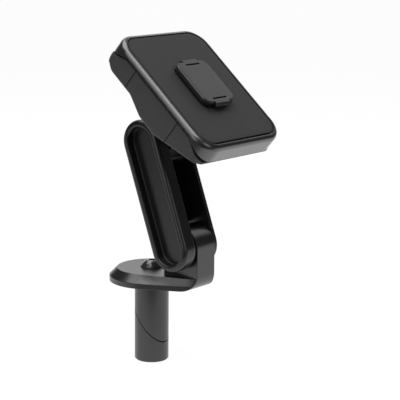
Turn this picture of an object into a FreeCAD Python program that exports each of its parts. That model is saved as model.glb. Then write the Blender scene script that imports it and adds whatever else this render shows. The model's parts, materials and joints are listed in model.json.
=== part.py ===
import FreeCAD, Part
import math
import os
import re
import Sketcher
from FreeCAD import Placement, Rotation, Vector

# Phone mount for the steering stem of a motorcycle, in millimetres.
# +Z runs up the stem axis, +X along the two hinge axes to the rider's right, +Y away from the rider.
# The origin is on the stem axis, on the underside of the flange.

doc = FreeCAD.newDocument("phone_mount")
sheet = doc.addObject("Spreadsheet::Sheet", "Dimensions")

sizes = {
    # expanding stem
    "stem_diameter": 20.0,
    "stem_length": 48.0,
    "stem_edge": 0.8,
    "spigot_height": 1.5,
    "spigot_step": 0.8,
    "relief_width": 0.3,
    "relief_depth": 0.3,
    "slant_height": 25.0,
    "slant_angle": 48.0,
    "slant_gap": 0.5,
    "wedge_travel": 1.2,
    "bolt_diameter": 6.0,
    "bolt_head_diameter": 12.6,
    "bolt_head_height": 4.3,
    "bolt_head_land": 0.5,
    "bolt_head_top": 5.4,
    "bolt_clearance": 0.3,
    "bolt_socket_flats": 4.0,
    "bolt_socket_depth": 2.6,
    "nut_flats": 10.0,
    "nut_height": 5.0,
    "nut_recess": 2.5,
    "nut_clearance": 0.2,
    # flange and its upright ear
    "flange_diameter": 49.6,
    "flange_thickness": 7.5,
    "flange_chamfer": 4.4,
    "ear_width": 15.7,
    "ear_radius": 12.1,
    "toe_radius": 9.0,
    "hinge_reach": 27.9,
    "hinge_height": 24.5,
    # arm between the two hinges
    "arm_length": 63.2,
    "arm_lean": 19.8,
    "arm_radius": 12.6,
    "cheek_thickness": 11.0,
    "cheek_edge": 2.5,
    "cheek_inner_edge": 3.0,
    "pocket_rim": 3.9,
    "pocket_edge": 1.0,
    "pocket_depth": 5.5,
    "pocket_floor_radius": 0.5,
    "web_depth": 6.0,
    "web_clearance": 1.2,
    "side_plate_thickness": 2.6,
    "side_plate_inset": 0.7,
    "side_plate_edge": 0.6,
    "disc_thickness": 0.6,
    "disc_diameter": 19.0,
    "pivot_diameter": 8.0,
    "pivot_head_diameter": 14.0,
    "pivot_head_height": 3.4,
    "pivot_skin": 1.0,
    "pivot_socket_flats": 5.0,
    "pivot_socket_depth": 2.6,
    "washer_diameter": 17.0,
    "washer_thickness": 0.8,
    "running_clearance": 0.05,
    "plate_screw_diameter": 3.0,
    "plate_screw_length": 7.0,
    "plate_screw_spacing": 20.0,
    # head: face plate
    "face_tilt": 41.2,
    "face_height": 44.0,
    "face_drop": 0.9,
    "face_width": 73.0,
    "face_length": 86.5,
    "face_corner": 13.0,
    "face_side_depth": 3.5,
    "face_end_depth": 11.2,
    "face_shoulder": 29.5,
    "bezel_width": 2.9,
    "bezel_radius": 3.2,
    "pad_thickness": 1.5,
    "pad_gap": 0.8,
    # head: rear housing
    "isolation_gap": 1.5,
    "housing_width": 70.0,
    "housing_back_width": 68.0,
    "housing_length": 84.4,
    "housing_corner": 12.0,
    "housing_tip": 1.2,
    "crown_depth": 18.6,
    "crown_start": 34.1,
    "crown_end": 15.6,
    "belly_depth": 23.2,
    "belly_start": 3.1,
    "belly_end": 10.9,
    "belly_blend": 7.0,
    "housing_edge": 1.2,
    "flank_radius": 1.4,
    "neck_root": 28.0,
    # rubber isolators between the housing and the face plate
    "isolator_diameter": 10.0,
    "isolator_seat": 2.0,
    "isolator_inset_across": 12.0,
    "isolator_inset_along": 6.5,
    "isolator_screw_diameter": 3.0,
    "isolator_screw_head": 5.5,
    "isolator_screw_bite": 1.4,
    "isolator_screw_grip": 5.0,
    "screw_clearance": 0.2,
    # release buttons
    "button_length": 38.6,
    "button_gap": 0.4,
    "button_thickness": 5.0,
    "button_travel": 2.0,
    "button_level": 30.0,
    "post_diameter": 5.0,
    "post_length": 11.0,
    "post_clearance": 0.08,
    "button_wire": 0.9,
    "button_spring_diameter": 7.6,
    "button_spring_seat": 6.0,
    "button_spring_turns": 4.0,
    "spring_clearance": 0.05,
    # phone latch
    "boss_width": 26.4,
    "boss_length": 31.0,
    "boss_corner": 4.8,
    "boss_height": 4.1,
    "boss_edge": 1.0,
    "boss_undercut": 1.6,
    "boss_step": 1.6,
    "boss_gap": 0.3,
    "tab_width": 12.0,
    "tab_reach": 2.0,
    "tab_inset": 2.1,
    "tab_slot": 1.1,
    "tab_travel": 0.9,
    "tab_lip": 2.4,
    "tab_tongue": 7.0,
    "tab_tongue_thickness": 2.2,
    "tab_clearance": 0.15,
    "tab_spring_diameter": 1.8,
    "tab_wire": 0.35,
    "tab_spring_turns": 5.0,
    "latch_pillar": 4.0,
    "boss_screw_diameter": 2.5,
    "boss_screw_spacing": 17.0,
    "boss_screw_head": 4.5,
    "boss_screw_head_height": 1.2,
    "boss_screw_bite": 3.0,
}
for row, (alias, value) in enumerate(sizes.items(), start=1):
    sheet.set(f"A{row}", alias)
    sheet.set(f"B{row}", str(value))
    sheet.setAlias(f"B{row}", alias)
doc.recompute()

# The pieces that are written out, each under its own label.
pieces = []


def expr(text):
    # A formula in plain size names, with each name pointed at its cell.
    return re.sub(r"[a-z][a-z_]*", lambda word: sheet_name(word.group()), text)


def sheet_name(word):
    return f"Dimensions.{word}" if word in sizes else word


def bind(item, **formulas):
    for prop, text in formulas.items():
        item.setExpression(prop, expr(text))
    return item


def shift(item, x="0", y="0", z="0"):
    for axis, text in (("x", x), ("y", y), ("z", z)):
        item.setExpression(f"Placement.Base.{axis}", expr(text))
    return item


def turn(item, axis, angle):
    item.Placement = Placement(Vector(0, 0, 0), Rotation(axis, 1))
    item.setExpression("Placement.Rotation.Angle", expr(angle))
    return item


X_AXIS = Vector(1, 0, 0)
Y_AXIS = Vector(0, 1, 0)
Z_AXIS = Vector(0, 0, 1)

# Half of the space between the two cheeks of the arm.
CHEEK_FACE = "(ear_width / 2 + disc_thickness)"
# Place of the upper hinge.
HEAD_Y = "-hinge_reach + arm_length * sin(arm_lean)"
HEAD_Z = "hinge_height + arm_length * cos(arm_lean)"


def on_base(item, label):
    item.Label = label
    pieces.append(item)
    return item


def on_arm(item, label):
    # The arm's own frame starts at the lower hinge, with z along the arm.
    turn(item, X_AXIS, "-arm_lean")
    shift(item, y="-hinge_reach", z="hinge_height")
    return on_base(item, label)


def on_head(item, label):
    # The head's own frame starts at the upper hinge, with z square to the face.
    turn(item, X_AXIS, "face_tilt")
    shift(item, y=HEAD_Y, z=HEAD_Z)
    return on_base(item, label)


def cylinder(name, radius, height, axis=None, x="0", y="0", z="0"):
    item = bind(doc.addObject("Part::Cylinder", name), Radius=radius, Height=height)
    if axis is not None:
        item.Placement = Placement(Vector(0, 0, 0), Rotation(Z_AXIS, axis))
    return shift(item, x, y, z)


def hexagon(name, flats, height, axis=None, x="0", y="0", z="0"):
    item = doc.addObject("Part::Prism", name)
    bind(item, Circumradius=f"{flats} / 2 / cos(30)", Height=height)
    if axis is not None:
        item.Placement = Placement(Vector(0, 0, 0), Rotation(Z_AXIS, axis))
    return shift(item, x, y, z)


def block(name, length, width, height, x="0", y="0", z="0"):
    # A box centred on x and y that stands on z.
    item = bind(doc.addObject("Part::Box", name), Length=length, Width=width, Height=height)
    return shift(item, f"{x} - ({length}) / 2", f"{y} - ({width}) / 2", z)


def join(name, items):
    item = doc.addObject("Part::MultiFuse", name)
    item.Shapes = items
    item.Refine = True
    return item


def common(name, items):
    item = doc.addObject("Part::MultiCommon", name)
    item.Shapes = items
    return item


def cut(name, base, tools):
    item = doc.addObject("Part::Cut", name)
    item.Base = base
    item.Tool = tools[0] if len(tools) == 1 else join(f"{name}_tools", tools)
    return item


def new_body(name):
    return doc.addObject("PartDesign::Body", name)


def new_sketch(body, name, plane, level):
    sketch = body.newObject("Sketcher::SketchObject", name)
    support = next(part for part in body.Origin.OriginFeatures if part.Role == plane)
    sketch.AttachmentSupport = [(support, "")]
    sketch.MapMode = "FlatFace"
    sketch.setExpression("AttachmentOffset.Base.z", expr(level))
    return sketch


def drive(sketch, name, constraint, text):
    number = sketch.addConstraint(constraint)
    sketch.renameConstraint(number, name)
    sketch.setExpression(f"Constraints.{name}", expr(text))


def polygon(body, name, plane, points, level="0"):
    # A closed outline whose corners are given by formulas.
    sketch = new_sketch(body, name, plane, level)
    count = len(points)
    ring = [Vector(math.cos(math.tau * i / count), math.sin(math.tau * i / count)) for i in range(count)]
    for i in range(count):
        sketch.addGeometry(Part.LineSegment(ring[i], ring[(i + 1) % count]))
    for i in range(count):
        sketch.addConstraint(Sketcher.Constraint("Coincident", i, 2, (i + 1) % count, 1))
    for i, (across, up) in enumerate(points):
        drive(sketch, f"across{i}", Sketcher.Constraint("DistanceX", -1, 1, i, 1, ring[i].x), across)
        drive(sketch, f"up{i}", Sketcher.Constraint("DistanceY", -1, 1, i, 1, ring[i].y), up)
    return sketch


def rounded_rectangle(body, name, width, height, radius, level, centre="-face_drop"):
    # Outline in the plane of the face, from four lines and four tangent arcs.
    sketch = new_sketch(body, name, "XY_Plane", level)
    corners = [Vector(10, 10), Vector(-10, 10), Vector(-10, -10), Vector(10, -10)]
    for i, corner in enumerate(corners):
        start = i * math.pi / 2
        sketch.addGeometry(Part.ArcOfCircle(Part.Circle(corner, Z_AXIS, 3), start, start + math.pi / 2))
    for i in range(4):
        begin = sketch.getPoint(i, 2)
        end = sketch.getPoint((i + 1) % 4, 1)
        sketch.addGeometry(Part.LineSegment(begin, end))
    for i in range(4):
        sketch.addConstraint(Sketcher.Constraint("Tangent", i, 2, 4 + i, 1))
        sketch.addConstraint(Sketcher.Constraint("Tangent", 4 + i, 2, (i + 1) % 4, 1))
    for i in (1, 2, 3):
        sketch.addConstraint(Sketcher.Constraint("Equal", 0, i))
    for i in (4, 6):
        sketch.addConstraint(Sketcher.Constraint("Horizontal", i))
        sketch.addConstraint(Sketcher.Constraint("Vertical", i + 1))
    drive(sketch, "radius", Sketcher.Constraint("Radius", 0, 3), radius)
    drive(sketch, "right", Sketcher.Constraint("DistanceX", -1, 1, 0, 3, 10), f"({width}) / 2 - ({radius})")
    drive(sketch, "left", Sketcher.Constraint("DistanceX", 2, 3, -1, 1, 10), f"({width}) / 2 - ({radius})")
    drive(sketch, "top", Sketcher.Constraint("DistanceY", -1, 1, 0, 3, 10), f"({height}) / 2 - ({radius})")
    drive(sketch, "bottom", Sketcher.Constraint("DistanceY", 2, 3, -1, 1, 10), f"({height}) / 2 - ({radius})")
    sketch.setExpression("AttachmentOffset.Base.y", expr(centre))
    return sketch


def pill(body, name, radius, level):
    # Two half circles about the two hinge axes, joined by straight flanks.
    sketch = new_sketch(body, name, "YZ_Plane", level)
    reach = sizes["arm_length"]
    low = Part.ArcOfCircle(Part.Circle(Vector(0, 0), Z_AXIS, 10), math.pi, math.tau)
    high = Part.ArcOfCircle(Part.Circle(Vector(0, reach), Z_AXIS, 10), 0, math.pi)
    sketch.addGeometry([low, high])
    sketch.addGeometry(Part.LineSegment(Vector(10, 0), Vector(10, reach)))
    sketch.addGeometry(Part.LineSegment(Vector(-10, reach), Vector(-10, 0)))
    sketch.addConstraint(Sketcher.Constraint("Coincident", 0, 3, -1, 1))
    sketch.addConstraint(Sketcher.Constraint("PointOnObject", 1, 3, -2))
    sketch.addConstraint(Sketcher.Constraint("Tangent", 0, 2, 2, 1))
    sketch.addConstraint(Sketcher.Constraint("Tangent", 2, 2, 1, 1))
    sketch.addConstraint(Sketcher.Constraint("Tangent", 1, 2, 3, 1))
    sketch.addConstraint(Sketcher.Constraint("Tangent", 3, 2, 0, 1))
    sketch.addConstraint(Sketcher.Constraint("Equal", 0, 1))
    drive(sketch, "radius", Sketcher.Constraint("Radius", 0, 10), radius)
    drive(sketch, "reach", Sketcher.Constraint("DistanceY", -1, 1, 1, 3, reach), "arm_length")
    return sketch


def extrude(body, kind, sketch, length, symmetric=False, backwards=False):
    feature = body.newObject(f"PartDesign::{kind}", f"{sketch.Name}_{kind.lower()}")
    feature.Profile = sketch
    feature.SideType = "Symmetric" if symmetric else "One side"
    feature.Reversed = backwards
    feature.setExpression("Length", expr(length))
    doc.recompute()
    return feature


def soften(body, kind, size, wanted):
    # Fillet or chamfer the edges of the body that a test picks out.
    base = body.Tip
    names = [f"Edge{i}" for i, edge in enumerate(base.Shape.Edges, start=1) if wanted(edge)]
    feature = body.newObject(f"PartDesign::{kind}", f"{body.Name}_{kind.lower()}")
    feature.Base = (base, names)
    feature.setExpression("Radius" if kind == "Fillet" else "Size", expr(size))
    doc.recompute()
    return feature


def near(a, b):
    return abs(a - b) < 1e-4


def lies_at(edge, axis, value):
    # True for an edge that lies wholly in the plane where one coordinate has this value.
    box = edge.BoundBox
    low, high = {"x": (box.XMin, box.XMax), "y": (box.YMin, box.YMax), "z": (box.ZMin, box.ZMax)}[axis]
    return near(low, value) and near(high, value)


def coil(name, wire, diameter, length, turns):
    # A compression spring along z at its pressed length: a square wire carried along a helix.
    body = new_body(f"{name}_coil")
    outer = f"({diameter}) / 2"
    section = polygon(body, f"{name}_wire", "XZ_Plane", [
        (f"{outer} - {wire}", f"-{wire} / 2"),
        (outer, f"-{wire} / 2"),
        (outer, f"{wire} / 2"),
        (f"{outer} - {wire}", f"{wire} / 2"),
    ])
    helix = body.newObject("PartDesign::AdditiveHelix", f"{name}_helix")
    helix.Profile = section
    helix.ReferenceAxis = (section, ["V_Axis"])
    helix.Mode = "pitch-height-angle"
    bind(helix, Height=f"{length} - {wire}", Pitch=f"({length} - {wire}) / {turns}")
    return body


# Expanding stem: one turned bar, cut on the slant into a sleeve and a wedge.
def stem_blank(name):
    # A bar with a small spigot on top, which fits a recess under the flange.
    body = new_body(name)
    radius = "stem_diameter / 2"
    outline = polygon(body, f"{name}_profile", "YZ_Plane", [
        ("0", "-stem_length"),
        (f"{radius} - stem_edge", "-stem_length"),
        (radius, "-stem_length + stem_edge"),
        (radius, "0"),
        (f"{radius} - spigot_step", "0"),
        (f"{radius} - spigot_step", "spigot_height"),
        ("0", "spigot_height"),
    ])
    feature = body.newObject("PartDesign::Revolution", f"{name}_turned")
    feature.Profile = outline
    feature.ReferenceAxis = (outline, ["V_Axis"])
    return body


def above_slant(name, gap):
    # Everything over the slanted cut, moved up or down by half the gap.
    item = bind(doc.addObject("Part::Box", name), Length="2 * stem_diameter", Width="3 * stem_length")
    bind(item, Height="3 * stem_length")
    turn(item, X_AXIS, "slant_angle")
    half = "1.5 * stem_length"
    return shift(
        item,
        x="-stem_diameter",
        y=f"-{half} * cos(slant_angle)",
        z=f"-slant_height - {half} * sin(slant_angle) + {gap} / 2 / cos(slant_angle)",
    )


sleeve_bore = cylinder(
    "sleeve_bore",
    "bolt_diameter / 2 + bolt_clearance",
    "3 * stem_length",
    z="-2 * stem_length",
)
sleeve_blank = stem_blank("sleeve_blank")
sleeve_bar = common("sleeve_bar", [sleeve_blank, above_slant("sleeve_side", "slant_gap")])
on_base(cut("sleeve", sleeve_bar, [sleeve_bore]), "stem_sleeve")

wedge_bore = cylinder(
    "wedge_bore",
    "bolt_diameter / 2 + bolt_clearance + wedge_travel * cos(slant_angle)",
    "3 * stem_length",
    z="-2 * stem_length",
)
nut_room = block(
    "nut_room",
    "nut_flats + 2 * nut_clearance",
    "nut_flats / cos(30) + 2 * (nut_clearance + wedge_travel * cos(slant_angle))",
    "nut_height + nut_recess + stem_edge",
    z="-stem_length - stem_edge",
)
wedge_tools = [above_slant("wedge_side", "-slant_gap"), wedge_bore, nut_room]
on_base(cut("wedge", stem_blank("wedge_blank"), wedge_tools), "expander_wedge")

NUT_Z = "-stem_length + nut_recess"
nut_bar = shift(turn(hexagon("nut_bar", "nut_flats", "nut_height"), Z_AXIS, "30"), z=NUT_Z)
nut_bore = cylinder(
    "nut_bore",
    "bolt_diameter / 2 + running_clearance",
    "3 * nut_height",
    z=f"{NUT_Z} - nut_height",
)
on_base(cut("nut", nut_bar, [nut_bore]), "wedge_nut")

# The bolt's button head is a disc cut to a dome by a ball that meets its land and its flat top.
SEAT_Z = "flange_thickness"
DOME_SQUARES = "(bolt_head_top^2 / 4 + bolt_head_height^2 - bolt_head_diameter^2 / 4 - bolt_head_land^2)"
DOME_LEVEL = f"({DOME_SQUARES} / (2 * (bolt_head_height - bolt_head_land)))"
bolt_disc = cylinder("bolt_disc", "bolt_head_diameter / 2", "bolt_head_height", z=SEAT_Z)
bolt_ball = bind(
    doc.addObject("Part::Sphere", "bolt_ball"),
    Radius=f"sqrt(bolt_head_diameter^2 / 4 + (bolt_head_land - {DOME_LEVEL})^2)",
)
bolt_head = common("bolt_head", [bolt_disc, shift(bolt_ball, z=f"{SEAT_Z} + {DOME_LEVEL}")])
bolt_shank = cylinder(
    "bolt_shank",
    "bolt_diameter / 2",
    f"stem_length + {SEAT_Z} - nut_recess / 2",
    z="-stem_length + nut_recess / 2",
)
bolt_socket = hexagon(
    "bolt_socket",
    "bolt_socket_flats",
    "2 * bolt_socket_depth",
    z=f"{SEAT_Z} + bolt_head_height - bolt_socket_depth",
)
on_base(cut("bolt", join("bolt_bar", [bolt_head, bolt_shank]), [bolt_socket]), "expander_bolt")


# Flange: a teardrop plate whose edge slopes less towards its narrow end, where an ear stands on it.
def flange_outline(body, name, level, inset):
    # The round end is drawn smaller by the inset, and both flanks run from it to the same two corners.
    sketch = new_sketch(body, name, "XY_Plane", level)
    radius = sizes["flange_diameter"] / 2 - sizes.get(inset, 0)
    half = sizes["ear_width"] / 2
    tip = sizes["hinge_reach"] + sizes["ear_radius"]
    touch = math.atan2(-tip, half) + math.acos(radius / math.hypot(tip, half))
    right = Vector(radius * math.cos(touch), radius * math.sin(touch))
    left = Vector(-right.x, right.y)
    sketch.addGeometry(Part.ArcOfCircle(Part.Circle(Vector(0, 0), Z_AXIS, radius), touch, math.pi - touch))
    sketch.addGeometry(Part.LineSegment(left, Vector(-half, -tip)))
    sketch.addGeometry(Part.LineSegment(Vector(-half, -tip), Vector(half, -tip)))
    sketch.addGeometry(Part.LineSegment(Vector(half, -tip), right))
    sketch.addConstraint(Sketcher.Constraint("Coincident", 0, 3, -1, 1))
    sketch.addConstraint(Sketcher.Constraint("Tangent", 0, 2, 1, 1))
    sketch.addConstraint(Sketcher.Constraint("Coincident", 1, 2, 2, 1))
    sketch.addConstraint(Sketcher.Constraint("Coincident", 2, 2, 3, 1))
    sketch.addConstraint(Sketcher.Constraint("Tangent", 3, 2, 0, 1))
    sketch.addConstraint(Sketcher.Constraint("Horizontal", 2))
    drive(sketch, "radius", Sketcher.Constraint("Radius", 0, radius), f"flange_diameter / 2 - {inset}")
    drive(sketch, "tip", Sketcher.Constraint("DistanceY", 2, 2, -1, 1, tip), "hinge_reach + ear_radius")
    drive(sketch, "half", Sketcher.Constraint("DistanceX", -1, 1, 2, 2, half), "ear_width / 2")
    drive(sketch, "width", Sketcher.Constraint("DistanceX", 2, 1, 2, 2, 2 * half), "ear_width")
    return sketch


def ear_outline(body):
    sketch = new_sketch(body, "ear_outline", "YZ_Plane", "0")
    radius, reach, height = sizes["ear_radius"], sizes["hinge_reach"], sizes["hinge_height"]
    centre = Vector(-reach, height)
    low_left, low_right = Vector(-reach - radius, 0), Vector(-reach + radius, 0)
    high_left, high_right = Vector(-reach - radius, height), Vector(-reach + radius, height)
    sketch.addGeometry(Part.ArcOfCircle(Part.Circle(centre, Z_AXIS, radius), 0, math.pi))
    sketch.addGeometry(Part.LineSegment(high_left, low_left))
    sketch.addGeometry(Part.LineSegment(low_left, low_right))
    sketch.addGeometry(Part.LineSegment(low_right, high_right))
    sketch.addConstraint(Sketcher.Constraint("Tangent", 0, 2, 1, 1))
    sketch.addConstraint(Sketcher.Constraint("Coincident", 1, 2, 2, 1))
    sketch.addConstraint(Sketcher.Constraint("Coincident", 2, 2, 3, 1))
    sketch.addConstraint(Sketcher.Constraint("Tangent", 3, 2, 0, 1))
    sketch.addConstraint(Sketcher.Constraint("PointOnObject", 1, 2, -1))
    sketch.addConstraint(Sketcher.Constraint("PointOnObject", 3, 1, -1))
    sketch.addConstraint(Sketcher.Constraint("Vertical", 1))
    sketch.addConstraint(Sketcher.Constraint("Vertical", 3))
    drive(sketch, "radius", Sketcher.Constraint("Radius", 0, radius), "ear_radius")
    drive(sketch, "reach", Sketcher.Constraint("DistanceX", 0, 3, -1, 1, reach), "hinge_reach")
    drive(sketch, "height", Sketcher.Constraint("DistanceY", -1, 1, 0, 3, height), "hinge_height")
    return sketch


flange_body = new_body("flange_body")
SLOPE_Z = "flange_thickness - flange_chamfer"
foot_outline = flange_outline(flange_body, "flange_foot", "0", "0")
extrude(flange_body, "Pad", foot_outline, SLOPE_Z)
slope = flange_body.newObject("PartDesign::AdditiveLoft", "flange_slope")
slope.Profile = flange_outline(flange_body, "flange_low", SLOPE_Z, "0")
slope.Sections = [flange_outline(flange_body, "flange_top", "flange_thickness", "flange_chamfer")]
slope.Ruled = True
doc.recompute()
extrude(flange_body, "Pad", ear_outline(flange_body), "ear_width", symmetric=True)
TOE_Y = "-hinge_reach - ear_radius + toe_radius"
SPIGOT_RADIUS = "stem_diameter / 2 - spigot_step + running_clearance"
toe_corner = block(
    "toe_corner",
    "flange_diameter",
    "4 * toe_radius",
    "2 * toe_radius",
    y=f"{TOE_Y} - 2 * toe_radius",
    z="-toe_radius",
)
toe_round = cylinder(
    "toe_round",
    "toe_radius",
    "2 * flange_diameter",
    X_AXIS,
    "-flange_diameter",
    TOE_Y,
    "toe_radius",
)
flange_tools = [
    cut("toe", toe_corner, [toe_round]),
    cylinder(
        "flange_bore",
        "bolt_diameter / 2 + bolt_clearance",
        "2 * flange_thickness",
        z="-flange_thickness",
    ),
    cylinder("spigot_recess", SPIGOT_RADIUS, "2 * spigot_height", z="-spigot_height"),
    cylinder("stem_relief", "stem_diameter / 2 + relief_width", "2 * relief_depth", z="-relief_depth"),
    cylinder(
        "ear_bore",
        "pivot_diameter / 2 + running_clearance",
        "2 * ear_width",
        X_AXIS,
        x="-ear_width",
        y="-hinge_reach",
        z="hinge_height",
    ),
]
on_base(cut("flange", flange_body, flange_tools), "base_flange")

# Arm: a thick pocketed cheek with a spine, and a thin side plate on the far side of the hinges.
link_body = new_body("link_body")
extrude(
    link_body,
    "Pad",
    pill(link_body, "cheek_outline", "arm_radius", f"-{CHEEK_FACE}"),
    "cheek_thickness",
    backwards=True,
)
cheek_face_x = -(sizes["ear_width"] / 2 + sizes["disc_thickness"])
cheek_outer_x = cheek_face_x - sizes["cheek_thickness"]
OUTER_X = f"-{CHEEK_FACE} - cheek_thickness"
soften(link_body, "Fillet", "cheek_inner_edge", lambda edge: lies_at(edge, "x", cheek_face_x))
soften(link_body, "Fillet", "cheek_edge", lambda edge: lies_at(edge, "x", cheek_outer_x))
pocket_outline = pill(link_body, "pocket_outline", "arm_radius - pocket_rim", OUTER_X)
extrude(link_body, "Pocket", pocket_outline, "pocket_depth", backwards=True)


def on_pocket_rim(edge):
    box = edge.BoundBox
    inside = max(
        abs(box.YMin),
        abs(box.YMax),
    ) < sizes["arm_radius"] - sizes["cheek_edge"] - sizes["pocket_edge"] / 2
    return lies_at(edge, "x", cheek_outer_x) and inside


soften(link_body, "Fillet", "pocket_edge", on_pocket_rim)
floor_x = cheek_outer_x + sizes["pocket_depth"]
soften(link_body, "Fillet", "pocket_floor_radius", lambda edge: lies_at(edge, "x", floor_x))
web_outline = polygon(link_body, "web_outline", "YZ_Plane", [
    ("arm_radius - cheek_inner_edge - web_depth", "ear_radius + web_clearance"),
    ("arm_radius - cheek_inner_edge", "ear_radius + web_clearance"),
    ("arm_radius - cheek_inner_edge", "arm_length - ear_radius - web_clearance"),
    ("arm_radius - cheek_inner_edge - web_depth", "arm_length - ear_radius - web_clearance"),
])
extrude(link_body, "Pad", web_outline, f"2 * {CHEEK_FACE}", symmetric=True)

HINGES = {"lower": "0", "upper": "arm_length"}
PLATE_X = f"({CHEEK_FACE} + side_plate_thickness)"
SCREW_Y = "(arm_radius - cheek_inner_edge - web_depth / 2)"
SCREW_Z = {"low": "(arm_length - plate_screw_spacing) / 2", "high": "(arm_length + plate_screw_spacing) / 2"}
BOLT_END = f"({CHEEK_FACE} + cheek_thickness - pocket_depth - pivot_skin)"


def pivot_hole(name, radius, z):
    # A hole from the end of a pivot bolt to well outside the far side.
    return cylinder(name, radius, f"2 * {PLATE_X} + {BOLT_END}", X_AXIS, x=f"-{BOLT_END}", z=z)


def screw_hole(name, radius, z):
    return cylinder(
        name,
        radius,
        f"plate_screw_length + {PLATE_X}",
        X_AXIS,
        f"{PLATE_X} - plate_screw_length",
        SCREW_Y,
        z,
    )


link_tools = [
    pivot_hole(f"link_hole_{end}", "pivot_diameter / 2 + running_clearance", z)
    for end, z in HINGES.items()
]
link_tools += [
    screw_hole(f"link_screw_hole_{end}", "plate_screw_diameter / 2", z)
    for end, z in SCREW_Z.items()
]
on_arm(cut("link", link_body, link_tools), "arm_link")

side_body = new_body("side_body")
side_outline = pill(side_body, "side_outline", "arm_radius - side_plate_inset", CHEEK_FACE)
extrude(side_body, "Pad", side_outline, "side_plate_thickness")
side_outer_x = -cheek_face_x + sizes["side_plate_thickness"]
soften(side_body, "Chamfer", "side_plate_edge", lambda edge: lies_at(edge, "x", side_outer_x))
side_tools = [
    pivot_hole(f"side_hole_{end}", "pivot_diameter / 2 + running_clearance", z)
    for end, z in HINGES.items()
]
side_tools += [
    screw_hole(
        f"side_screw_hole_{end}",
        "plate_screw_diameter / 2 + screw_clearance",
        z,
    ) for end, z in SCREW_Z.items()
]
on_arm(cut("side_plate", side_body, side_tools), "arm_side_plate")


def plate_screw(end, z):
    # Button head screw that holds the side plate to the spine.
    shank = screw_hole(f"plate_screw_shank_{end}", "plate_screw_diameter / 2", z)
    bind(shank, Height="plate_screw_length")
    head = cylinder(
        f"plate_screw_head_{end}",
        "plate_screw_diameter",
        "plate_screw_diameter / 2",
        X_AXIS,
        PLATE_X,
        SCREW_Y,
        z,
    )
    drive_hole = hexagon(
        f"plate_screw_socket_{end}",
        "plate_screw_diameter * 2 / 3",
        "plate_screw_diameter",
        X_AXIS,
        f"{PLATE_X} + plate_screw_diameter / 4",
        SCREW_Y,
        z,
    )
    return cut(f"plate_screw_{end}", join(f"plate_screw_bar_{end}", [shank, head]), [drive_hole])


screws = doc.addObject("Part::Compound", "plate_screw_pair")
screws.Links = [plate_screw(end, z) for end, z in SCREW_Z.items()]
on_arm(screws, "side_plate_screws")

for end, z in HINGES.items():
    for side, x in (("near", f"-{CHEEK_FACE}"), ("far", "ear_width / 2")):
        disc = cylinder(f"disc_{end}_{side}", "disc_diameter / 2", "disc_thickness", X_AXIS, x=x, z=z)
        hole = cylinder(
            f"disc_hole_{end}_{side}",
            "pivot_diameter / 2 + bolt_clearance",
            "4 * ear_width",
            X_AXIS,
            "-2 * ear_width",
            z=z,
        )
        on_arm(cut(f"disc_cut_{end}_{side}", disc, [hole]), f"friction_disc_{end}_{side}")
    washer = cylinder(f"washer_{end}", "washer_diameter / 2", "washer_thickness", X_AXIS, x=PLATE_X, z=z)
    washer_hole = pivot_hole(f"washer_hole_{end}", "pivot_diameter / 2 + bolt_clearance", z)
    on_arm(cut(f"washer_cut_{end}", washer, [washer_hole]), f"pivot_washer_{end}")
    head_x = f"{PLATE_X} + washer_thickness"
    shank = cylinder(
        f"pivot_shank_{end}",
        "pivot_diameter / 2",
        f"{BOLT_END} + {head_x}",
        X_AXIS,
        f"-{BOLT_END}",
        z=z,
    )
    head = cylinder(f"pivot_head_{end}", "pivot_head_diameter / 2", "pivot_head_height", X_AXIS, head_x, z=z)
    socket = hexagon(
        f"pivot_socket_{end}",
        "pivot_socket_flats",
        "pivot_head_height",
        X_AXIS,
        f"{head_x} + pivot_head_height - pivot_socket_depth",
        z=z,
    )
    on_arm(cut(f"pivot_{end}", join(f"pivot_bar_{end}", [shank, head]), [socket]), f"pivot_bolt_{end}")

# Face plate: a tray with thin sides and deep ends, and a recess for the pad.
FACE_BACK = "(face_height - face_side_depth)"
PAD_FLOOR = "(face_height - pad_thickness)"
END_SLOPE = "((face_end_depth - face_side_depth) / (face_length / 2 - face_shoulder))"
face_z = sizes["face_height"]

face_body = new_body("face_body")
face_outline = rounded_rectangle(
    face_body, "face_outline", "face_width", "face_length", "face_corner", "face_height - face_end_depth"
)
extrude(face_body, "Pad", face_outline, "face_end_depth")
soften(face_body, "Fillet", "bezel_radius", lambda edge: lies_at(edge, "z", face_z))
pad_recess = rounded_rectangle(
    face_body,
    "pad_recess",
    "face_width - 2 * bezel_width",
    "face_length - 2 * bezel_width",
    "face_corner - bezel_width",
    "face_height",
)
extrude(face_body, "Pocket", pad_recess, "pad_thickness")
side_notch = polygon(face_body, "side_notch", "YZ_Plane", [
    ("-face_drop - face_shoulder", FACE_BACK),
    ("-face_drop - face_length", f"{FACE_BACK} - {END_SLOPE} * (face_length - face_shoulder)"),
    ("-face_drop + face_length", f"{FACE_BACK} - {END_SLOPE} * (face_length - face_shoulder)"),
    ("-face_drop + face_shoulder", FACE_BACK),
])
extrude(face_body, "Pocket", side_notch, "2 * face_width", symmetric=True)

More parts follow.
